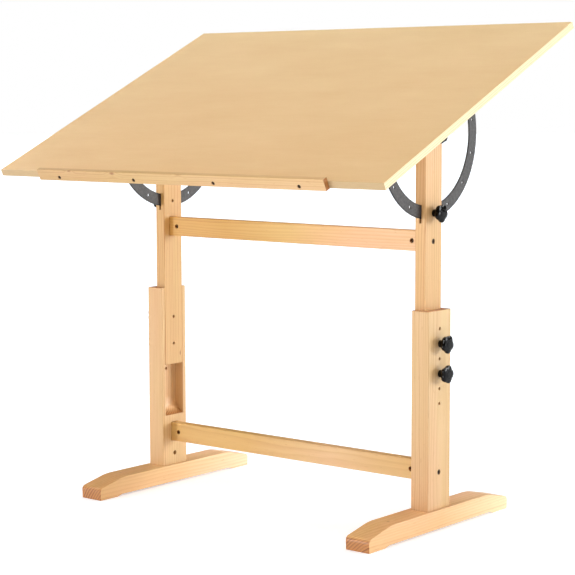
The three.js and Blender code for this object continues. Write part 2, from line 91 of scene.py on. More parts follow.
def span_of(points):
    """Low and high corner of the box round some points."""
    low = Vector([min(point[i] for point in points) for i in range(3)])
    high = Vector([max(point[i] for point in points) for i in range(3)])
    return low, high


# ------------------------------------------------------------------ node graphs


class Graph:
    """A small helper for building one material's node tree."""

    def __init__(self, name):
        self.material = bpy.data.materials.new(name)
        self.material.use_nodes = True
        self.tree = self.material.node_tree
        self.shader = self.tree.nodes["Principled BSDF"]

    def node(self, kind, inputs=None, **settings):
        """A new node; inputs are by socket name, and settings are its own properties."""
        made = self.tree.nodes.new(kind)
        for key, value in settings.items():
            setattr(made, key, value)
        for key, value in (inputs or {}).items():
            self.feed(made.inputs[key], value)
        return made

    def feed(self, socket, value):
        """Links a socket to another one, or gives it a value."""
        if isinstance(value, bpy.types.NodeSocket):
            self.tree.links.new(value, socket)
        else:
            socket.default_value = value

    def math(self, operation, first, second=0.0, third=0.0, clamp=False):
        made = self.node("ShaderNodeMath", operation=operation, use_clamp=clamp)
        for socket, value in zip(made.inputs, (first, second, third)):
            self.feed(socket, value)
        return made.outputs[0]

    def vector(self, operation, first, second):
        made = self.node("ShaderNodeVectorMath", operation=operation)
        self.feed(made.inputs[0], first)
        self.feed(made.inputs[1], second)
        return made.outputs[0]

    def noise(self, place, scale, detail, roughness=0.5):
        made = self.node(
            "ShaderNodeTexNoise",
            {"Vector": place, "Scale": scale, "Detail": detail, "Roughness": roughness},
        )
        return made.outputs["Fac"]

    def ramp(self, value, stops, interpolation="LINEAR"):
        """Colour by value; each stop is (value, colour)."""
        made = self.node("ShaderNodeValToRGB", {"Fac": value})
        ramp = made.color_ramp
        ramp.interpolation = interpolation
        while len(ramp.elements) > 1:
            ramp.elements.remove(ramp.elements[-1])
        ramp.elements[0].position = stops[0][0]
        ramp.elements[0].color = colour(stops[0][1])
        for position, value in stops[1:]:
            ramp.elements.new(position).color = colour(value)
        return made.outputs["Color"]

    def mix(self, amount, first, second, blend="MIX"):
        """Two colours, from the first at 0 to the second at 1."""
        made = self.node("ShaderNodeMix", data_type="RGBA", blend_type=blend, clamp_factor=True)
        self.feed(made.inputs["Factor"], amount)
        self.feed(made.inputs[6], colour(first))
        self.feed(made.inputs[7], colour(second))
        return made.outputs[2]

    def fit(self, value, low, high, new_low, new_high):
        """Takes the range from low to high onto a new one, and holds the ends beyond it."""
        made = self.node("ShaderNodeMapRange", clamp=True)
        for socket, number in zip(made.inputs, (value, low, high, new_low, new_high)):
            self.feed(socket, number)
        return made.outputs[0]

    def total(self, *terms, constant=0.0):
        """Weighted sum: each term is (value, weight)."""
        result = constant
        for value, weight in terms:
            result = self.math("MULTIPLY_ADD", value, weight, result)
        return result

    def stretch(self, across, along, keep, seed):
        """Position squeezed along the grain, so that noise there comes out long."""
        squeezed = self.math("MULTIPLY", along, keep)
        made = self.node("ShaderNodeCombineXYZ", {"X": across[0], "Y": across[1], "Z": squeezed})
        return self.vector("ADD", made.outputs[0], (seed, seed * 0.37, seed * 1.7))

    def length(self, vector):
        return self.node("ShaderNodeVectorMath", {"Vector": vector}, operation="LENGTH").outputs["Value"]

    def product(self, *factors):
        result = factors[0]
        for factor in factors[1:]:
            result = self.math("MULTIPLY", result, factor)
        return result

    def cell(self, value):
        """A number as a place to read noise at."""
        return self.node("ShaderNodeCombineXYZ", {"X": value}).outputs[0]

    def blend(self, amount, first, second):
        """Between two factors, each (red, green, blue) where 1 leaves a colour as it is."""
        made = self.node("ShaderNodeMix", data_type="VECTOR", clamp_factor=True)
        self.feed(made.inputs["Factor"], amount)
        self.feed(made.inputs[4], first)
        self.feed(made.inputs[5], second)
        return made.outputs[1]

    def steps(self, value, span, factors):
        """Factors spaced evenly over a span (low, high) of the value."""
        level = self.fit(value, span[0], span[1], 0.0, float(len(factors) - 1))
        result = self.blend(0.0, factors[0], factors[0])
        for index, factor in enumerate(factors[1:]):
            result = self.blend(self.math("SUBTRACT", level, float(index), clamp=True), result, factor)
        return result

    def bump(self, height, strength, distance):
        made = self.node("ShaderNodeBump", {"Height": height, "Strength": strength, "Distance": distance})
        self.feed(self.shader.inputs["Normal"], made.outputs[0])

    def place(self, matrix=None):
        """Position in the object's own frame, or where a matrix takes it."""
        source = self.node("ShaderNodeTexCoord").outputs["Object"]
        if matrix is not None:
            turned = self.node("ShaderNodeMapping", {"Vector": source})
            turned.inputs["Location"].default_value = matrix.to_translation()
            turned.inputs["Rotation"].default_value = matrix.to_euler()
            source = turned.outputs[0]
        return source


def colour(value):
    """Display colour, 0 to 255, as a linear one; a socket passes through."""
    if isinstance(value, bpy.types.NodeSocket):
        return value
    return (*(linear(channel / 255) for channel in value), 1.0)


def linear(shown):
    """The sRGB curve: a displayed brightness, 0 to 1, as linear light."""
    return shown / 12.92 if shown <= 0.04045 else ((shown + 0.055) / 1.055) ** 2.4


# ------------------------------------------------------------------ wood

# Colours of the lacquered pine, from the early wood to the dark late wood of a ring.
EARLY_WOOD = (242, 208, 158)
MID_WOOD = (232, 189, 134)
LATE_WOOD = (202, 146, 88)
KNOT_WOOD = (150, 92, 48)
DUCT_WOOD = (176, 118, 66)
SAWN_EARLY = (191, 128, 68)
SAWN_LATE = (122, 67, 27)

# Factors on that colour, between which the wood drifts.
STRAW = (0.98, 1.0, 0.93)
ROSY = (1.02, 0.985, 1.03)

# How far the growth rings stray from round, in long sweeps and in short ripples.
RING_WANDER = 16 * MM
RING_RIPPLE = 1.6 * MM

# Factors on the board's colour, from its front edge to its back edge.
BOARD_TINTS = ((0.95, 0.92, 0.88), (1.01, 1.06, 1.09))


def pine(name, grain, pith, tints, span, seed, figure, ring=4.2 * MM, turn=None, knots=()):
    """Lacquered pine as a solid texture: growth rings about a pith line along the grain.

    grain is the axis the wood runs along and pith the ring centre in the other two axes, in metres.
    tints multiply the colour, spaced evenly along the grain over span. figure is how strongly the
    late wood shows, and ring how far apart the rings are. turn leads to the frame that the grain is
    in. knots are (place, radius).
    """
    g = Graph(name)
    place = g.place(turn)
    xyz = g.node("ShaderNodeSeparateXYZ", {"Vector": place}).outputs
    along = xyz["xyz".index(grain)]
    across = [xyz[i] for i in range(3) if "xyz"[i] != grain]
    slow = g.stretch(across, along, 0.16, seed)

    knot, swirl = knot_field(g, place, grain, knots)
    late, wide = growth_rings(g, across, slow, pith, ring, swirl)

    # fibres: very long, very thin
    fine = g.stretch(across, along, 0.022, seed)
    fibre = g.noise(fine, 900.0, 3.0, 0.6)
    streak = g.noise(fine, 160.0, 2.0, 0.5)
    broad = g.noise(slow, 26.0, 2.0, 0.5)

    tone = g.total((broad, 0.9), (streak, 0.6), (wide, 0.25), constant=-0.4)
    body = g.ramp(tone, [(0.0, MID_WOOD), (1.0, EARLY_WOOD)])
    lined = g.mix(g.product(late, figure), body, LATE_WOOD)
    lined = g.mix(g.fit(fibre, 0.3, 0.75, 0.0, 0.17), lined, LATE_WOOD)

    # the wood drifts between straw coloured and rosy
    warmth = g.fit(g.noise(slow, 15.0, 2.0), 0.35, 0.65, 0.0, 1.0)
    lined = g.mix(1.0, lined, g.blend(warmth, STRAW, ROSY), "MULTIPLY")
    lined = g.mix(1.0, lined, g.steps(along, span, tints), "MULTIPLY")

    # short resin ducts, and the knots
    duct = g.noise(g.stretch(across, along, 0.09, seed), 620.0, 1.0, 0.4)
    lined = g.mix(g.fit(duct, 0.71, 0.78, 0.0, 0.5), lined, DUCT_WOOD)
    lined = g.mix(knot, lined, KNOT_WOOD)

    g.feed(g.shader.inputs["Base Color"], sawn_ends(g, lined, place, late, grain, turn))
    roughness = g.fit(g.total((late, 0.3), (fibre, 1.0)), 0.2, 1.1, 0.36, 0.52)
    g.feed(g.shader.inputs["Roughness"], roughness)
    g.shader.inputs["Specular IOR Level"].default_value = 0.42
    g.shader.inputs["Coat Weight"].default_value = 0.12
    g.shader.inputs["Coat Roughness"].default_value = 0.25
    g.bump(g.total((fibre, 0.6), (late, 0.5)), 0.16, 0.15 * MM)
    return g.material


def sawn_ends(g, lined, place, late, grain, turn):
    """Sawn ends soak up more lacquer: darker and browner, with the rings plain to see."""
    sawn = g.ramp(late, [(0.0, SAWN_EARLY), (0.8, SAWN_LATE)])
    pores = g.fit(g.noise(place, 1500.0, 1.0), 0.45, 0.75, 0.0, 0.4)
    along_grain = Vector([float(letter == grain) for letter in "xyz"])
    slope = facing(g, along_grain, turn, 0.12, 0.5)
    lined = g.mix(g.product(slope, g.total((late, 0.5), constant=0.08)), lined, SAWN_EARLY)
    return g.mix(facing(g, along_grain, turn, 0.62, 0.9), lined, g.mix(pores, sawn, SAWN_LATE))


def growth_rings(g, across, slow, pith, ring, swirl):
    """Late wood, 0 to 1, and a slow shade that changes from ring to ring."""
    wander = g.math("SUBTRACT", g.noise(slow, 11.0, 2.0), 0.5)
    ripple = g.math("SUBTRACT", g.noise(slow, 70.0, 2.0), 0.5)
    first = g.math("SUBTRACT", across[0], pith[0])
    second = g.math("SUBTRACT", across[1], pith[1])
    reach = g.math("SQRT", g.math("ADD", g.product(first, first), g.product(second, second)))
    radius = g.total((reach, 1.0), (wander, RING_WANDER), (ripple, RING_RIPPLE), (swirl, 1.0))
    rings = g.math("DIVIDE", radius, ring)
    above_zero = g.math("ADD", rings, 100.0)
    phase = g.math("FRACT", above_zero)
    number = g.node("ShaderNodeTexWhiteNoise", {"W": g.math("FLOOR", rings)}, noise_dimensions="1D")
    darkens = g.fit(phase, 0.35, 0.9, 0.0, 1.0)
    ends = g.fit(phase, 0.93, 1.0, 1.0, 0.0)
    strength = g.fit(number.outputs["Value"], 0.0, 1.0, 0.35, 1.0)
    return g.product(darkens, ends, strength), g.noise(g.cell(rings), 0.45, 1.0)


def knot_field(g, place, grain, knots):
    """Darkness of the knots, 0 to 1, and how far they push the growth rings aside, in metres."""
    dark = 0.0
    swirl = 0.0
    squeeze = tuple(0.45 if letter == grain else 1.0 for letter in "xyz")
    for centre, size in knots:
        offset = g.vector("MULTIPLY", g.vector("SUBTRACT", place, centre), squeeze)
        reach = g.length(offset)
        dark = g.math("MAXIMUM", dark, g.fit(reach, 0.4 * size, 1.3 * size, 0.8, 0.0))
        near = g.fit(reach, 0.0, 5.5 * size, 1.0, 0.0)
        swirl = g.math("ADD", swirl, g.product(near, near, 2.6 * size))
    return dark, swirl


def facing(g, axis, turn, start, full):
    """How squarely the surface faces along an axis, either way: 0 below start, 1 above full."""
    if turn is not None:
        axis = turn.inverted().to_3x3() @ axis
    normal = g.node("ShaderNodeNewGeometry").outputs["Normal"]
    local = g.node(
        "ShaderNodeVectorTransform", {"Vector": normal},
        vector_type="NORMAL", convert_from="WORLD", convert_to="OBJECT",
    )
    turned_by = g.node("ShaderNodeVectorMath", operation="DOT_PRODUCT")
    g.feed(turned_by.inputs[0], local.outputs[0])
    turned_by.inputs[1].default_value = axis
    return g.fit(g.math("ABSOLUTE", turned_by.outputs["Value"]), start, full, 0.0, 1.0)


# Colours of the drawing board's faces and of its front and back edges.
VENEER = [(0.3, (224, 188, 138)), (0.7, (231, 199, 151))]
VENEER_SPECK = (207, 166, 116)
EDGE_STRIP = [(0.3, (189, 160, 118)), (0.7, (199, 170, 128))]
PLY_GRAIN = (214, 177, 126)

# Plies of the board's side edges, from the underside up: where each starts and its colour.
PLIES = [
    (0.0, (226, 190, 142)), (0.05, (247, 229, 190)), (0.2, (232, 203, 156)), (0.34, (247, 229, 190)),
    (0.5, (236, 209, 163)), (0.66, (248, 231, 193)), (0.8, (232, 203, 156)), (0.92, (247, 229, 190)),
]


def board_skin():
    """Smooth veneered faces, thin plies at the two side edges and a plain strip at front and back."""
    g = Graph("drawing_board_skin")
    place = g.place(TO_BOARD)
    xyz = g.node("ShaderNodeSeparateXYZ", {"Vector": place}).outputs
    cloud = g.noise(g.vector("MULTIPLY", place, (1.0, 3.5, 1.0)), 5.0, 3.0, 0.55)
    grain = g.noise(g.vector("MULTIPLY", place, (14.0, 260.0, 260.0)), 1.0, 3.0, 0.6)
    speck = g.noise(place, 520.0, 2.0, 0.6)
    tone = g.total((cloud, 0.7), (grain, 0.3))
    face = g.mix(g.fit(speck, 0.6, 0.8, 0.0, 0.25), g.ramp(tone, VENEER), VENEER_SPECK)
    low, high = board_span("drawing_board")
    face = g.mix(1.0, face, g.steps(xyz[1], (low.y, high.y), BOARD_TINTS), "MULTIPLY")

    layers = g.ramp(g.fit(xyz[2], low.z, high.z, 0.0, 1.0), PLIES, "CONSTANT")
    edge_grain = g.noise(g.vector("MULTIPLY", place, (60.0, 60.0, 1800.0)), 1.0, 2.0, 0.6)
    layers = g.mix(g.fit(edge_grain, 0.45, 0.8, 0.0, 0.35), layers, PLY_GRAIN)
    on_side = facing(g, Vector((1, 0, 0)), TO_BOARD, 0.4, 0.7)
    edges = g.mix(on_side, g.ramp(edge_grain, EDGE_STRIP), layers)
    on_face = facing(g, Vector((0, 0, 1)), TO_BOARD, 0.62, 0.9)
    g.feed(g.shader.inputs["Base Color"], g.mix(on_face, edges, face))
    g.feed(g.shader.inputs["Roughness"], g.fit(speck, 0.3, 0.7, 0.42, 0.52))
    g.shader.inputs["Specular IOR Level"].default_value = 0.35
    g.bump(g.total((speck, 1.0), (grain, 0.5)), 0.08, 0.12 * MM)
    return g.material


# ------------------------------------------------------------------ metal and plastic


# Colours of the powder coat: its mottle, the tops of its pebbles, and the painted shade along the rims.
COAT = [(0.35, (43, 41, 40)), (0.65, (66, 62, 62))]
COAT_PEBBLE = (126, 120, 120)
PAINTED_RIM_SHADE = (30, 28, 27)

# The painted shade along the rims fades out over these heights above the tilt pivot, where the arc's
# strap begins.
RIM_SHADE_FADES = (30 * MM, 46 * MM)


def black_steel():
    """Powder coat, with painted shade darkening the edges of the tilt arcs' rings."""
    g = Graph("black_powder_coat")
    place = g.place(TO_BOARD)
    pebble = g.noise(place, 1300.0, 2.0, 0.5)
    mottle = g.noise(place, 160.0, 2.0, 0.6)
    base = g.mix(g.fit(pebble, 0.5, 0.75, 0.0, 0.35), g.ramp(mottle, COAT), COAT_PEBBLE)

    xyz = g.node("ShaderNodeSeparateXYZ", {"Vector": place}).outputs
    reach = g.length(g.node("ShaderNodeCombineXYZ", {"Y": xyz[1], "Z": xyz[2]}).outputs[0])
    inner, outer = ARC_RING
    # painted shade: the inner and outer edges of the rings are darkened in the colour, fading out at the
    # strap
    rim = g.total(
        (g.fit(reach, inner + 1.0 * MM, inner + 3.0 * MM, 1.0, 0.0), 1.0),
        (g.fit(reach, outer - 3.0 * MM, outer - 1.0 * MM, 0.0, 1.0), 1.0),
    )
    below_strap = g.fit(xyz[2], *RIM_SHADE_FADES, 1.0, 0.0)
    g.feed(g.shader.inputs["Base Color"], g.mix(g.product(rim, below_strap), base, PAINTED_RIM_SHADE))
    g.shader.inputs["Specular IOR Level"].default_value = 0.4
    g.feed(g.shader.inputs["Roughness"], g.fit(pebble, 0.3, 0.7, 0.38, 0.55))
    g.bump(pebble, 0.4, 0.2 * MM)
    return g.material


def black_plastic():
    """Moulded plastic of the star knobs, nearly black."""
    g = Graph("glossy_black_plastic")
    place = g.place()
    flow = g.noise(place, 90.0, 2.0, 0.5)
    g.feed(g.shader.inputs["Base Color"], g.ramp(flow, [(0.3, (3, 2, 2)), (0.7, (6, 5, 5))]))
    g.feed(g.shader.inputs["Roughness"], g.fit(g.noise(place, 400.0, 2.0), 0.3, 0.7, 0.1, 0.15))
    g.shader.inputs["Specular IOR Level"].default_value = 0.16
    g.bump(flow, 0.05, 0.3 * MM)
    return g.material


def plated(name, dark, light, roughness):
    """Plated or browned steel with turning marks."""
    g = Graph(name)
    place = g.place()
    lines = g.noise(g.vector("MULTIPLY", place, (900.0, 900.0, 900.0)), 1.0, 2.0, 0.6)
    g.feed(g.shader.inputs["Base Color"], g.ramp(lines, [(0.3, dark), (0.7, light)]))
    g.shader.inputs["Metallic"].default_value = 0.9
    g.feed(g.shader.inputs["Roughness"], g.fit(lines, 0.3, 0.7, roughness - 0.06, roughness + 0.08))
    g.bump(lines, 0.1, 0.05 * MM)
    return g.material


# ------------------------------------------------------------------ meshes


# CAD corners closer than this are one point, and faces nearer in angle than this are one plane.
SAME_POINT = 0.002 * MM
SAME_PLANE = math.radians(0.6)


def board_span(node):
    """Box of a node measured in the board's own frame."""
    return span_of([TO_BOARD @ vertex.co for vertex in frame["nodes"][node].data.vertices])


def soften(node, width, material, min_edge=12 * MM, segments=3):
    """A copy of a CAD node with its long sharp edges rounded off, shown in the node's place."""
    bm = bmesh.new()
    bm.from_mesh(frame["nodes"][node].data)
    bmesh.ops.remove_doubles(bm, verts=bm.verts, dist=SAME_POINT)
    bmesh.ops.dissolve_limit(
        bm, angle_limit=SAME_PLANE, verts=bm.verts, edges=bm.edges, delimit={"NORMAL"}
    )
    sharp = [
        edge
        for edge in bm.edges
        if edge.is_manifold and edge.calc_face_angle() > CREASE and edge.calc_length() > min_edge
    ]
    bmesh.ops.bevel(
        bm, geom=sharp, offset=width, offset_type="OFFSET", segments=segments, profile=0.5,
        affect="EDGES", clamp_overlap=False, miter_outer="ARC",
    )
    mesh = bpy.data.meshes.new(node + "_fine")
    bm.to_mesh(mesh)
    bm.free()
    show(mesh, node, material)


def show(mesh, node, material):
    """Shows a mesh in place of a CAD node, on the same body, in the material given."""
    piece = bpy.data.objects.new(node + "_fine", mesh)
    bpy.context.collection.objects.link(piece)
    cover(mesh, material)
    smooth(piece)
    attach(piece, BODY_OF[node])
    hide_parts(node)


def turned(rings, sides):
    """Closed surface round the z axis. Each ring is (z, radius), and a radius may depend on the angle."""
    bm = bmesh.new()
    loops = []
    for height, radius in rings:
        loop = []
        for step in range(sides):
            angle = 2 * math.pi * step / sides
            reach = radius(angle) if callable(radius) else radius
            loop.append(bm.verts.new((reach * math.cos(angle), reach * math.sin(angle), height)))
        loops.append(loop)
    for lower, upper in zip(loops, loops[1:]):
        for step in range(sides):
            after = (step + 1) % sides
            bm.faces.new((lower[step], lower[after], upper[after], upper[step]))
    bm.faces.new(list(reversed(loops[0])))
    bm.faces.new(loops[-1])
    bmesh.ops.recalc_face_normals(bm, faces=bm.faces)
    mesh = bpy.data.meshes.new("turned")
    bm.to_mesh(mesh)
    bm.free()
    return mesh


def smooth(piece):
    """Even shading that breaks only at creases."""
    for polygon in piece.data.polygons:
        polygon.use_smooth = True
    piece.data.set_sharp_from_angle(angle=CREASE)
    weighted = piece.modifiers.new("even_normals", "WEIGHTED_NORMAL")
    weighted.keep_sharp = True


def cover(mesh, material):
    """Gives a mesh one material all over."""
    mesh.materials.clear()
    mesh.materials.append(material)


# ------------------------------------------------------------------ pieces


# Factors on the ledge's colour, from its left end to its right end.
LEDGE_TINTS = ((0.71, 0.69, 0.59), (0.8, 0.765, 0.725), (0.84, 0.81, 0.8))


def build_board():
    """Drawing board and pencil ledge; the ledge has three small knots along its top front edge."""
    soften("drawing_board", 1.2 * MM, board_skin(), min_edge=100 * MM)
    low, high = board_span("pencil_ledge")
    knots = (
        ((-0.17, low.y, high.z - 3 * MM), 3.2 * MM),
        ((-0.30, low.y, high.z), 2.6 * MM),
        ((0.02, low.y, high.z + 1 * MM), 2.0 * MM),
    )
    ledge = pine(
        "pine_ledge", "x", pith=(-0.44, 0.13), tints=LEDGE_TINTS, span=(low.x, high.x),
        ring=3.4 * MM, seed=3.1, figure=0.5, turn=TO_BOARD, knots=knots,
    )
    soften("pencil_ledge", 0.8 * MM, ledge)


# How each stick was sawn, and the factors on its colour. Pith places are in the two directions
# across the grain. Tints run up the masts and posts, from front to back along the feet and from
# left to right along the rails.
MASTS = {
    "left": {"pith": (-0.33, -0.02), "seed": 4.0, "tints": ((0.79, 0.735, 0.625), (0.75, 0.665, 0.49))},
    "right": {"pith": (0.30, 0.11), "seed": 6.0, "tints": ((0.79, 0.69, 0.52), (0.91, 0.9, 0.93))},
}
POSTS = {
    "left": {"pith": (-0.49, -0.05), "seed": 8.0, "tints": ((0.84, 0.825, 0.775), (0.855, 0.84, 0.82))},
    "right": {"pith": (0.325, 0.05), "seed": 10.0, "tints": ((0.81, 0.76, 0.725), (0.85, 0.88, 0.9))},
}
# The last tint of each foot, above 1, is painted light: it lightens the back end of the foot, which the
# board and the post shade.
FEET = {
    "left": {
        "pith": (-0.23, -0.09), "seed": 13.0,
        "tints": ((0.77, 0.66, 0.51), (0.95, 0.9, 0.88), (1.32, 1.38, 1.75)),
    },
    "right": {
        "pith": (0.46, -0.10), "seed": 15.0,
        "tints": ((0.93, 0.83, 0.76), (0.96, 0.87, 0.85), (1.26, 1.34, 1.7)),
    },
}
# The upper rail's last tints are partly its own tone and partly painted light: they lighten its right
# end, which the right mast shades.
RAILS = {
    "upper": {
        "pith": (0.10, 0.68), "seed": 21.0,
        "tints": (
            (0.78, 0.67, 0.375), (0.73, 0.62, 0.305), (0.81, 0.79, 0.53), (0.94, 0.87, 0.92),
            (0.95, 0.98, 1.08),
        ),
    },
    "lower": {
        "pith": (0.115, 0.105), "seed": 27.0,
        "tints": ((0.8, 0.73, 0.475), (0.77, 0.705, 0.435), (0.88, 0.865, 0.88), (0.79, 0.77, 0.56)),
    },
}


# A small knot on the top of each foot, in front of its post.
FOOT_KNOT_X = 387 * MM
FOOT_KNOT_Y = -120 * MM
FOOT_KNOT_Z = 46 * MM


def build_stand():
    """Masts, posts, feet and rails."""
    for side, sign in SIGNS.items():
        build_stick(f"mast_{side}", "z", 1.2 * MM, figure=0.85, knots=mast_knots(side), **MASTS[side])
        build_stick(f"post_{side}", "z", 1.5 * MM, ring=3.8 * MM, figure=0.7, **POSTS[side])
        foot_knots = (((sign * FOOT_KNOT_X, FOOT_KNOT_Y, FOOT_KNOT_Z), 2.4 * MM),)
        build_stick(
            f"foot_{side}", "y", 1.8 * MM, min_edge=4 * MM,
            ring=6.0 * MM, figure=0.5, knots=foot_knots, **FEET[side],
        )
    for which, looks in RAILS.items():
        build_stick(f"{which}_rail", "x", 1.2 * MM, figure=0.55, **looks)


def mast_knots(side):
    """One small knot low on the inner face of each mast."""
    low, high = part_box(f"mast_{side}")
    inner = high.x if side == "left" else low.x
    return (((inner, high.y - 8 * MM, low.z + 24 * MM), 2.2 * MM),)


def build_stick(node, grain, width, min_edge=12 * MM, **looks):
    """A stick of the stand with its edges rounded to a width and its grain along an axis."""
    low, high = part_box(node)
    axis = "xyz".index(grain)
    wood = pine(f"pine_{node}", grain, span=(low[axis], high[axis]), **looks)
    soften(node, width, wood, min_edge=min_edge)


# Star knob: radius over and between its lobes, length of its head, and its hub.
KNOB_REACH = 19.8 * MM
KNOB_WAIST = 16.9 * MM
KNOB_LOBES = 5
KNOB_HEAD = 16 * MM
KNOB_SIDES = 100
HUB_RADIUS = 8 * MM

# Shape of the knob from hub to cap. The flare is (height up the head, part of the outline), the
# front is (depth below the front, part of the outline) and the cap is (depth, radius), all in mm.
KNOB_FLARE = [(0.0, 0.5), (1.5, 0.63), (3.4, 0.77), (5.4, 0.9), (7.2, 0.97), (9.0, 1.0)]
KNOB_FRONT = [(4.2, 1.0), (3.3, 0.99), (2.6, 0.965), (2.0, 0.92), (1.5, 0.85), (1.1, 0.75), (0.75, 0.62)]
KNOB_CAP = [(0.6, 8.4), (0.9, 8.0), (0.9, 7.6), (0.3, 7.1), (0.1, 5.0), (0.0, 2.5), (0.0, 1.0)]


def star(scale):
    """Radius of the knob's lobed outline, times a scale, by angle."""

    def radius(angle):
        lobe = (0.5 + 0.5 * math.cos(KNOB_LOBES * angle)) ** 0.85
        return scale * (KNOB_WAIST + (KNOB_REACH - KNOB_WAIST) * lobe)

    return radius


def knob_mesh(length):
    """Moulded star knob: round hub, flaring lobes, softly edged front with a shallow round cap."""
    head = length - KNOB_HEAD
    hub = [(0.0, 0.88), (0.5 * MM, 0.96), (1.5 * MM, 1.0), (head - 1.5 * MM, 1.0)]
    rings = [(height, part * HUB_RADIUS) for height, part in hub]
    rings += [(head + height * MM, star(part)) for height, part in KNOB_FLARE]
    rings += [(length - depth * MM, star(part)) for depth, part in KNOB_FRONT]
    rings += [(length - depth * MM, radius * MM) for depth, radius in KNOB_CAP]
    return turned(rings, KNOB_SIDES)


# Turn of each knob about its stud in degrees, as it was left when last tightened.
KNOB_TURNS = {
    "pivot_knob_left": 50, "pivot_knob_right": 36, "arc_knob_left": 20, "arc_knob_right": 12,
    "height_upper_knob_left": 0, "height_upper_knob_right": 15,
    "height_lower_knob_left": 0, "height_lower_knob_right": 0,
}


def build_knobs():
    """The eight star knobs, each turned about its own stud."""
    plastic = black_plastic()
    for node, turn in KNOB_TURNS.items():
        low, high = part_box(node)
        sign = sign_of(node)
        inner = high.x if sign < 0 else low.x
        mesh = knob_mesh(high.x - low.x)
        place = Matrix.Translation((inner, *joint_record(node + "_turn")["pos_m"][1:]))
        spin = Matrix.Rotation(math.radians(90 - turn), 4, "Z")
        mesh.transform(place @ Matrix.Rotation(sign * math.pi / 2, 4, "Y") @ spin)
        show(mesh, node, plastic)


# ------------------------------------------------------------------ screws, bolts and studs

THREAD_PITCH = 1.0 * MM
THREAD_DEPTH = 0.35 * MM
THREAD_START = 0.8 * MM
RINGS_PER_TURN = 4

# Connector bolt: its thread, its head, and the socket's half width and depth.
BOLT_RADIUS = 3.0 * MM
BOLT_THREAD_END = 18 * MM
BOLT_HEAD_RADIUS = 5.6 * MM
BOLT_HEAD_HEIGHT = 5.0 * MM
SOCKET_HALF_WIDTH = 2.0 * MM
SOCKET_DEPTH = 2.6 * MM
BOLT_SIDES = 36

# Screw of the ledge and of the arcs' flanges: its thread, its head and its cross recess.
SCREW_RADIUS = 2.0 * MM
SCREW_HEAD_RADIUS = 4.0 * MM
SCREW_HEAD_HEIGHT = 2.6 * MM
RECESS_REACH = 2.2 * MM
RECESS_DEPTH = 1.4 * MM
SCREW_SIDES = 32

# Stud of a knob.
STUD_RADIUS = 2.9 * MM
STUD_SIDES = 20


def seat(node, out, frame_turn=Matrix.Identity(4)):
    """Where a round piece lies, as a matrix, and its length.

    The matrix leads from the piece's own axis, with the tip at 0 and the head towards +Z. out points
    out of the head, in the frame that frame_turn leads to.
    """
    aim = out.to_track_quat("Z", "Y").to_matrix().to_4x4()
    to_own = aim.inverted() @ frame_turn
    low, high = span_of([to_own @ vertex.co for vertex in frame["nodes"][node].data.vertices])
    tip = Vector(((low.x + high.x) / 2, (low.y + high.y) / 2, low.z))
    return to_own.inverted() @ Matrix.Translation(tip), high.z - low.z


def thread(start, end, radius):
    """Rings of a screw thread from start to end."""
    rings = []
    step = THREAD_PITCH / RINGS_PER_TURN
    for index in range(int((end - start) / step)):
        height = start + index * step

        def ridge(angle, height=height):
            turn = (height / THREAD_PITCH - angle / (2 * math.pi)) % 1.0
            return radius - THREAD_DEPTH * abs(2 * turn - 1)

        rings.append((height, ridge))
    return rings


def hex_socket(size):
    """Outline of a hexagonal socket, by angle; size is half its width across flats."""

    def radius(angle):
        within = (angle % (math.pi / 3)) - math.pi / 6
        return size / math.cos(within)

    return radius


def cross_recess(size):
    """Outline of a cross recess, by angle: four short wings as long as size."""
    core = 0.34

    def radius(angle):
        swing = abs(math.cos(2 * angle))
        wing = swing ** 3 if swing ** 2 > 0.2 else 0.0
        return size * (core + (1 - core) * wing)

    return radius


def head_rings(length, height, reach, recess, depth):
    """Rings of a screw head with softly turned edges and a recess in its face."""
    turned_edge = [
        (length - 0.5 * MM, reach), (length - 0.15 * MM, reach - 0.25 * MM), (length, reach - 0.7 * MM),
    ]
    hollow = [(length, recess), (length - depth, recess), (length - depth, 0.3 * MM)]
    return [(length - height, reach), *turned_edge, *hollow]


def build_bolts(metals):
    """Connector bolts: threaded tip, plain shank, flat head with a hexagonal socket."""
    for side, sign in SIGNS.items():
        outward = Vector((sign, 0, 0))
        heads = {"upper_rail_bolt": outward, "lower_rail_bolt": outward, "foot_bolt": Vector((0, 0, -1))}
        for name, out in heads.items():
            node = f"{name}_{side}"
            place, length = seat(node, out)
            neck = length - BOLT_HEAD_HEIGHT
            socket = hex_socket(SOCKET_HALF_WIDTH)
            rings = [(0.0, BOLT_RADIUS - 1.0 * MM)]
            rings += thread(THREAD_START, BOLT_THREAD_END, BOLT_RADIUS)
            rings += [(BOLT_THREAD_END + 0.5 * MM, BOLT_RADIUS), (neck, BOLT_RADIUS)]
            rings += head_rings(length, BOLT_HEAD_HEIGHT, BOLT_HEAD_RADIUS, socket, SOCKET_DEPTH)
            fasten(node, rings, BOLT_SIDES, place, metals[SLOT_OF[node]])


def build_screws(metals):
    """Pointed screws of the ledge and the arcs' flanges, each with a low head and a cross recess."""
    for node, slot in SLOT_OF.items():
        if "_screw_" not in node:
            continue
        out = Vector((0, -1, 0)) if node.startswith("ledge") else Vector((0, 0, -1))
        place, length = seat(node, out, TO_BOARD)
        recess = cross_recess(RECESS_REACH)
        rings = [(0.0, 0.3 * MM), (3.0 * MM, 1.4 * MM)]
        rings += thread(3.2 * MM, length - 3.4 * MM, SCREW_RADIUS)
        rings += [(length - 3.0 * MM, SCREW_RADIUS - 0.4 * MM)]
        rings += head_rings(length, SCREW_HEAD_HEIGHT, SCREW_HEAD_RADIUS, recess, RECESS_DEPTH)
        fasten(node, rings, SCREW_SIDES, place, metals[slot])


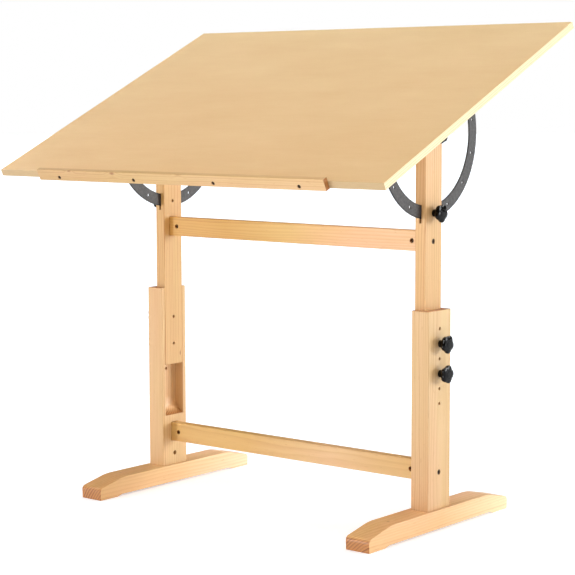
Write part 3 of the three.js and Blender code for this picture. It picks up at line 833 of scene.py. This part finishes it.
def build_studs(metals):
    """Threaded studs of the knobs."""
    for node, slot in SLOT_OF.items():
        if "_stud_" not in node:
            continue
        place, length = seat(node, Vector((sign_of(node), 0, 0)))
        rings = [(0.0, STUD_RADIUS - 1.0 * MM)]
        rings += thread(THREAD_START, length - 1.0 * MM, STUD_RADIUS)
        rings += [(length - 0.6 * MM, STUD_RADIUS - 0.4 * MM), (length, STUD_RADIUS - 0.7 * MM)]
        fasten(node, rings, STUD_SIDES, place, metals[slot])


def fasten(node, rings, sides, place, material):
    """Shows a turned piece where its CAD node lies."""
    mesh = turned(rings, sides)
    mesh.transform(place)
    show(mesh, node, material)


def build_metal():
    """The tilt arcs and the fasteners; inserts and nuts keep their CAD shapes, deep in the wood."""
    coat = black_steel()
    for side in SIGNS:
        soften(f"tilt_arc_{side}", 0.4 * MM, coat, min_edge=2 * MM, segments=2)
    metals = {
        "zinc_steel": plated("zinc_plate", (176, 176, 172), (206, 206, 200), 0.34),
        "dark_steel": plated("browned_steel", (52, 40, 30), (84, 66, 50), 0.42),
    }
    build_bolts(metals)
    build_screws(metals)
    build_studs(metals)
    for node, slot in SLOT_OF.items():
        if "_insert_" in node or "_nut_" in node:
            cover(frame["nodes"][node].data, metals[slot])


# ------------------------------------------------------------------ studio


# Camera: focal length and sensor in mm, place in metres, and how far it looks down, rolls and turns
# from +Y in degrees.
LENS = 111.57
SENSOR = 36
CAMERA_PLACE = (2.5077, -3.0608, 0.9213)
CAMERA_DOWN = 6.118
CAMERA_ROLL = 0.12
CAMERA_TURN = 39.064


def add_camera():
    """The photograph's view."""
    data = bpy.data.cameras.new("camera")
    data.sensor_width = SENSOR
    data.lens = LENS
    camera = bpy.data.objects.new("camera", data)
    camera.location = CAMERA_PLACE
    angles = (90 - CAMERA_DOWN, CAMERA_ROLL, CAMERA_TURN)
    camera.rotation_euler = [math.radians(angle) for angle in angles]
    bpy.context.collection.objects.link(camera)
    bpy.context.scene.camera = camera


def sun(name, azimuth, elevation, softness, strength, tint=(1, 1, 1)):
    """Soft light from far away; softness is its width, and all three angles are in degrees."""
    data = bpy.data.lights.new(name, "SUN")
    data.energy = strength
    data.angle = math.radians(softness)
    data.color = tint
    light = bpy.data.objects.new(name, data)
    light.rotation_euler = direction(azimuth, elevation).to_track_quat("Z", "Y").to_euler()
    bpy.context.collection.objects.link(light)


# Softboxes that shiny surfaces mirror: azimuth, elevation and half width in degrees, and brightness.
# Within SOFTBOX_CORE of its half width a softbox has its full brightness.
SOFTBOXES = ((48, 30, 11, 24.0), (165, 20, 9, 50.0), (250, 48, 8, 60.0), (330, 60, 8, 60.0))
SOFTBOX_CORE = 0.8
DARK_ROOM = 0.06

# The even light from all round, the faint glow that keeps the floor white, and white itself.
ROOM_LIGHT = (1.0, 0.95, 0.88, 1)
ROOM_STRENGTH = 0.6
FLOOR_GLOW = (0.24, 0.3, 0.38, 1)
FLOOR_RADIUS = 40.0
WHITE = (1, 1, 1, 1)


def direction(azimuth, elevation):
    """Unit vector; azimuth is counted from +X towards +Y, and both are in degrees."""
    azimuth, elevation = math.radians(azimuth), math.radians(elevation)
    flat = math.cos(elevation)
    return Vector((math.cos(azimuth) * flat, math.sin(azimuth) * flat, math.sin(elevation)))


def mirrored_room(nodes, links):
    """Dim room with softboxes, as brightness by direction."""
    towards = nodes.new("ShaderNodeTexCoord").outputs["Generated"]
    room = None
    for azimuth, elevation, width, brightness in SOFTBOXES:
        aim = nodes.new("ShaderNodeVectorMath")
        aim.operation = "DOT_PRODUCT"
        aim.inputs[1].default_value = direction(azimuth, elevation)
        links.new(towards, aim.inputs[0])
        lamp = nodes.new("ShaderNodeMapRange")
        rim, core = (math.cos(math.radians(reach)) for reach in (width, SOFTBOX_CORE * width))
        edges = (rim, core, 0.0, brightness)
        for socket, value in zip(lamp.inputs[1:], edges):
            socket.default_value = value
        links.new(aim.outputs["Value"], lamp.inputs[0])
        both = nodes.new("ShaderNodeMath")
        both.inputs[0].default_value = DARK_ROOM
        if room is not None:
            links.new(room, both.inputs[0])
        links.new(lamp.outputs[0], both.inputs[1])
        room = both.outputs[0]
    return room


def add_world():
    """White to the camera, softboxes in a dim room to shiny surfaces, and even light to the rest."""
    world = bpy.data.worlds.new("studio")
    world.use_nodes = True
    nodes, links = world.node_tree.nodes, world.node_tree.links
    path = nodes.new("ShaderNodeLightPath")
    even = nodes["Background"]
    even.inputs["Color"].default_value = ROOM_LIGHT
    even.inputs["Strength"].default_value = ROOM_STRENGTH
    mirrored = nodes.new("ShaderNodeBackground")
    mirrored.inputs["Color"].default_value = WHITE
    links.new(mirrored_room(nodes, links), mirrored.inputs["Strength"])
    backdrop = nodes.new("ShaderNodeBackground")
    backdrop.inputs["Color"].default_value = WHITE

    seen = even
    for ray, shown in (("Is Glossy Ray", mirrored), ("Is Camera Ray", backdrop)):
        chosen = nodes.new("ShaderNodeMixShader")
        links.new(path.outputs[ray], chosen.inputs[0])
        links.new(seen.outputs[0], chosen.inputs[1])
        links.new(shown.outputs[0], chosen.inputs[2])
        seen = chosen
    links.new(seen.outputs[0], nodes["World Output"].inputs["Surface"])
    bpy.context.scene.world = world


def add_studio():
    """White room with a low key light from the right and behind, and fills from front, top and back."""
    add_world()
    bpy.context.scene.view_settings.view_transform = "Standard"
    sun("key", azimuth=36, elevation=8, softness=26, strength=1.9, tint=(0.93, 0.98, 1.0))
    sun("front", azimuth=238, elevation=9, softness=6, strength=1.15)
    sun("top", azimuth=250, elevation=75, softness=50, strength=0.7)
    sun("back", azimuth=85, elevation=35, softness=40, strength=0.6)


def add_floor():
    """Plain round white floor, wide enough to reach past every view."""
    bm = bmesh.new()
    bmesh.ops.create_circle(bm, cap_ends=True, segments=96, radius=FLOOR_RADIUS)
    mesh = bpy.data.meshes.new("floor")
    bm.to_mesh(mesh)
    bm.free()
    floor = bpy.data.objects.new("floor", mesh)
    bpy.context.collection.objects.link(floor)
    g = Graph("floor_white")
    tone = g.noise(g.place(), 3.0, 2.0)
    g.feed(g.shader.inputs["Base Color"], g.ramp(tone, [(0.0, (246, 246, 246)), (1.0, (250, 250, 250))]))
    g.shader.inputs["Roughness"].default_value = 0.9
    g.shader.inputs["Specular IOR Level"].default_value = 0.1
    g.shader.inputs["Emission Color"].default_value = FLOOR_GLOW
    g.shader.inputs["Emission Strength"].default_value = 1.0
    mesh.materials.append(g.material)


add_camera()
add_studio()
add_floor()
build_board()
build_stand()
build_metal()
build_knobs()
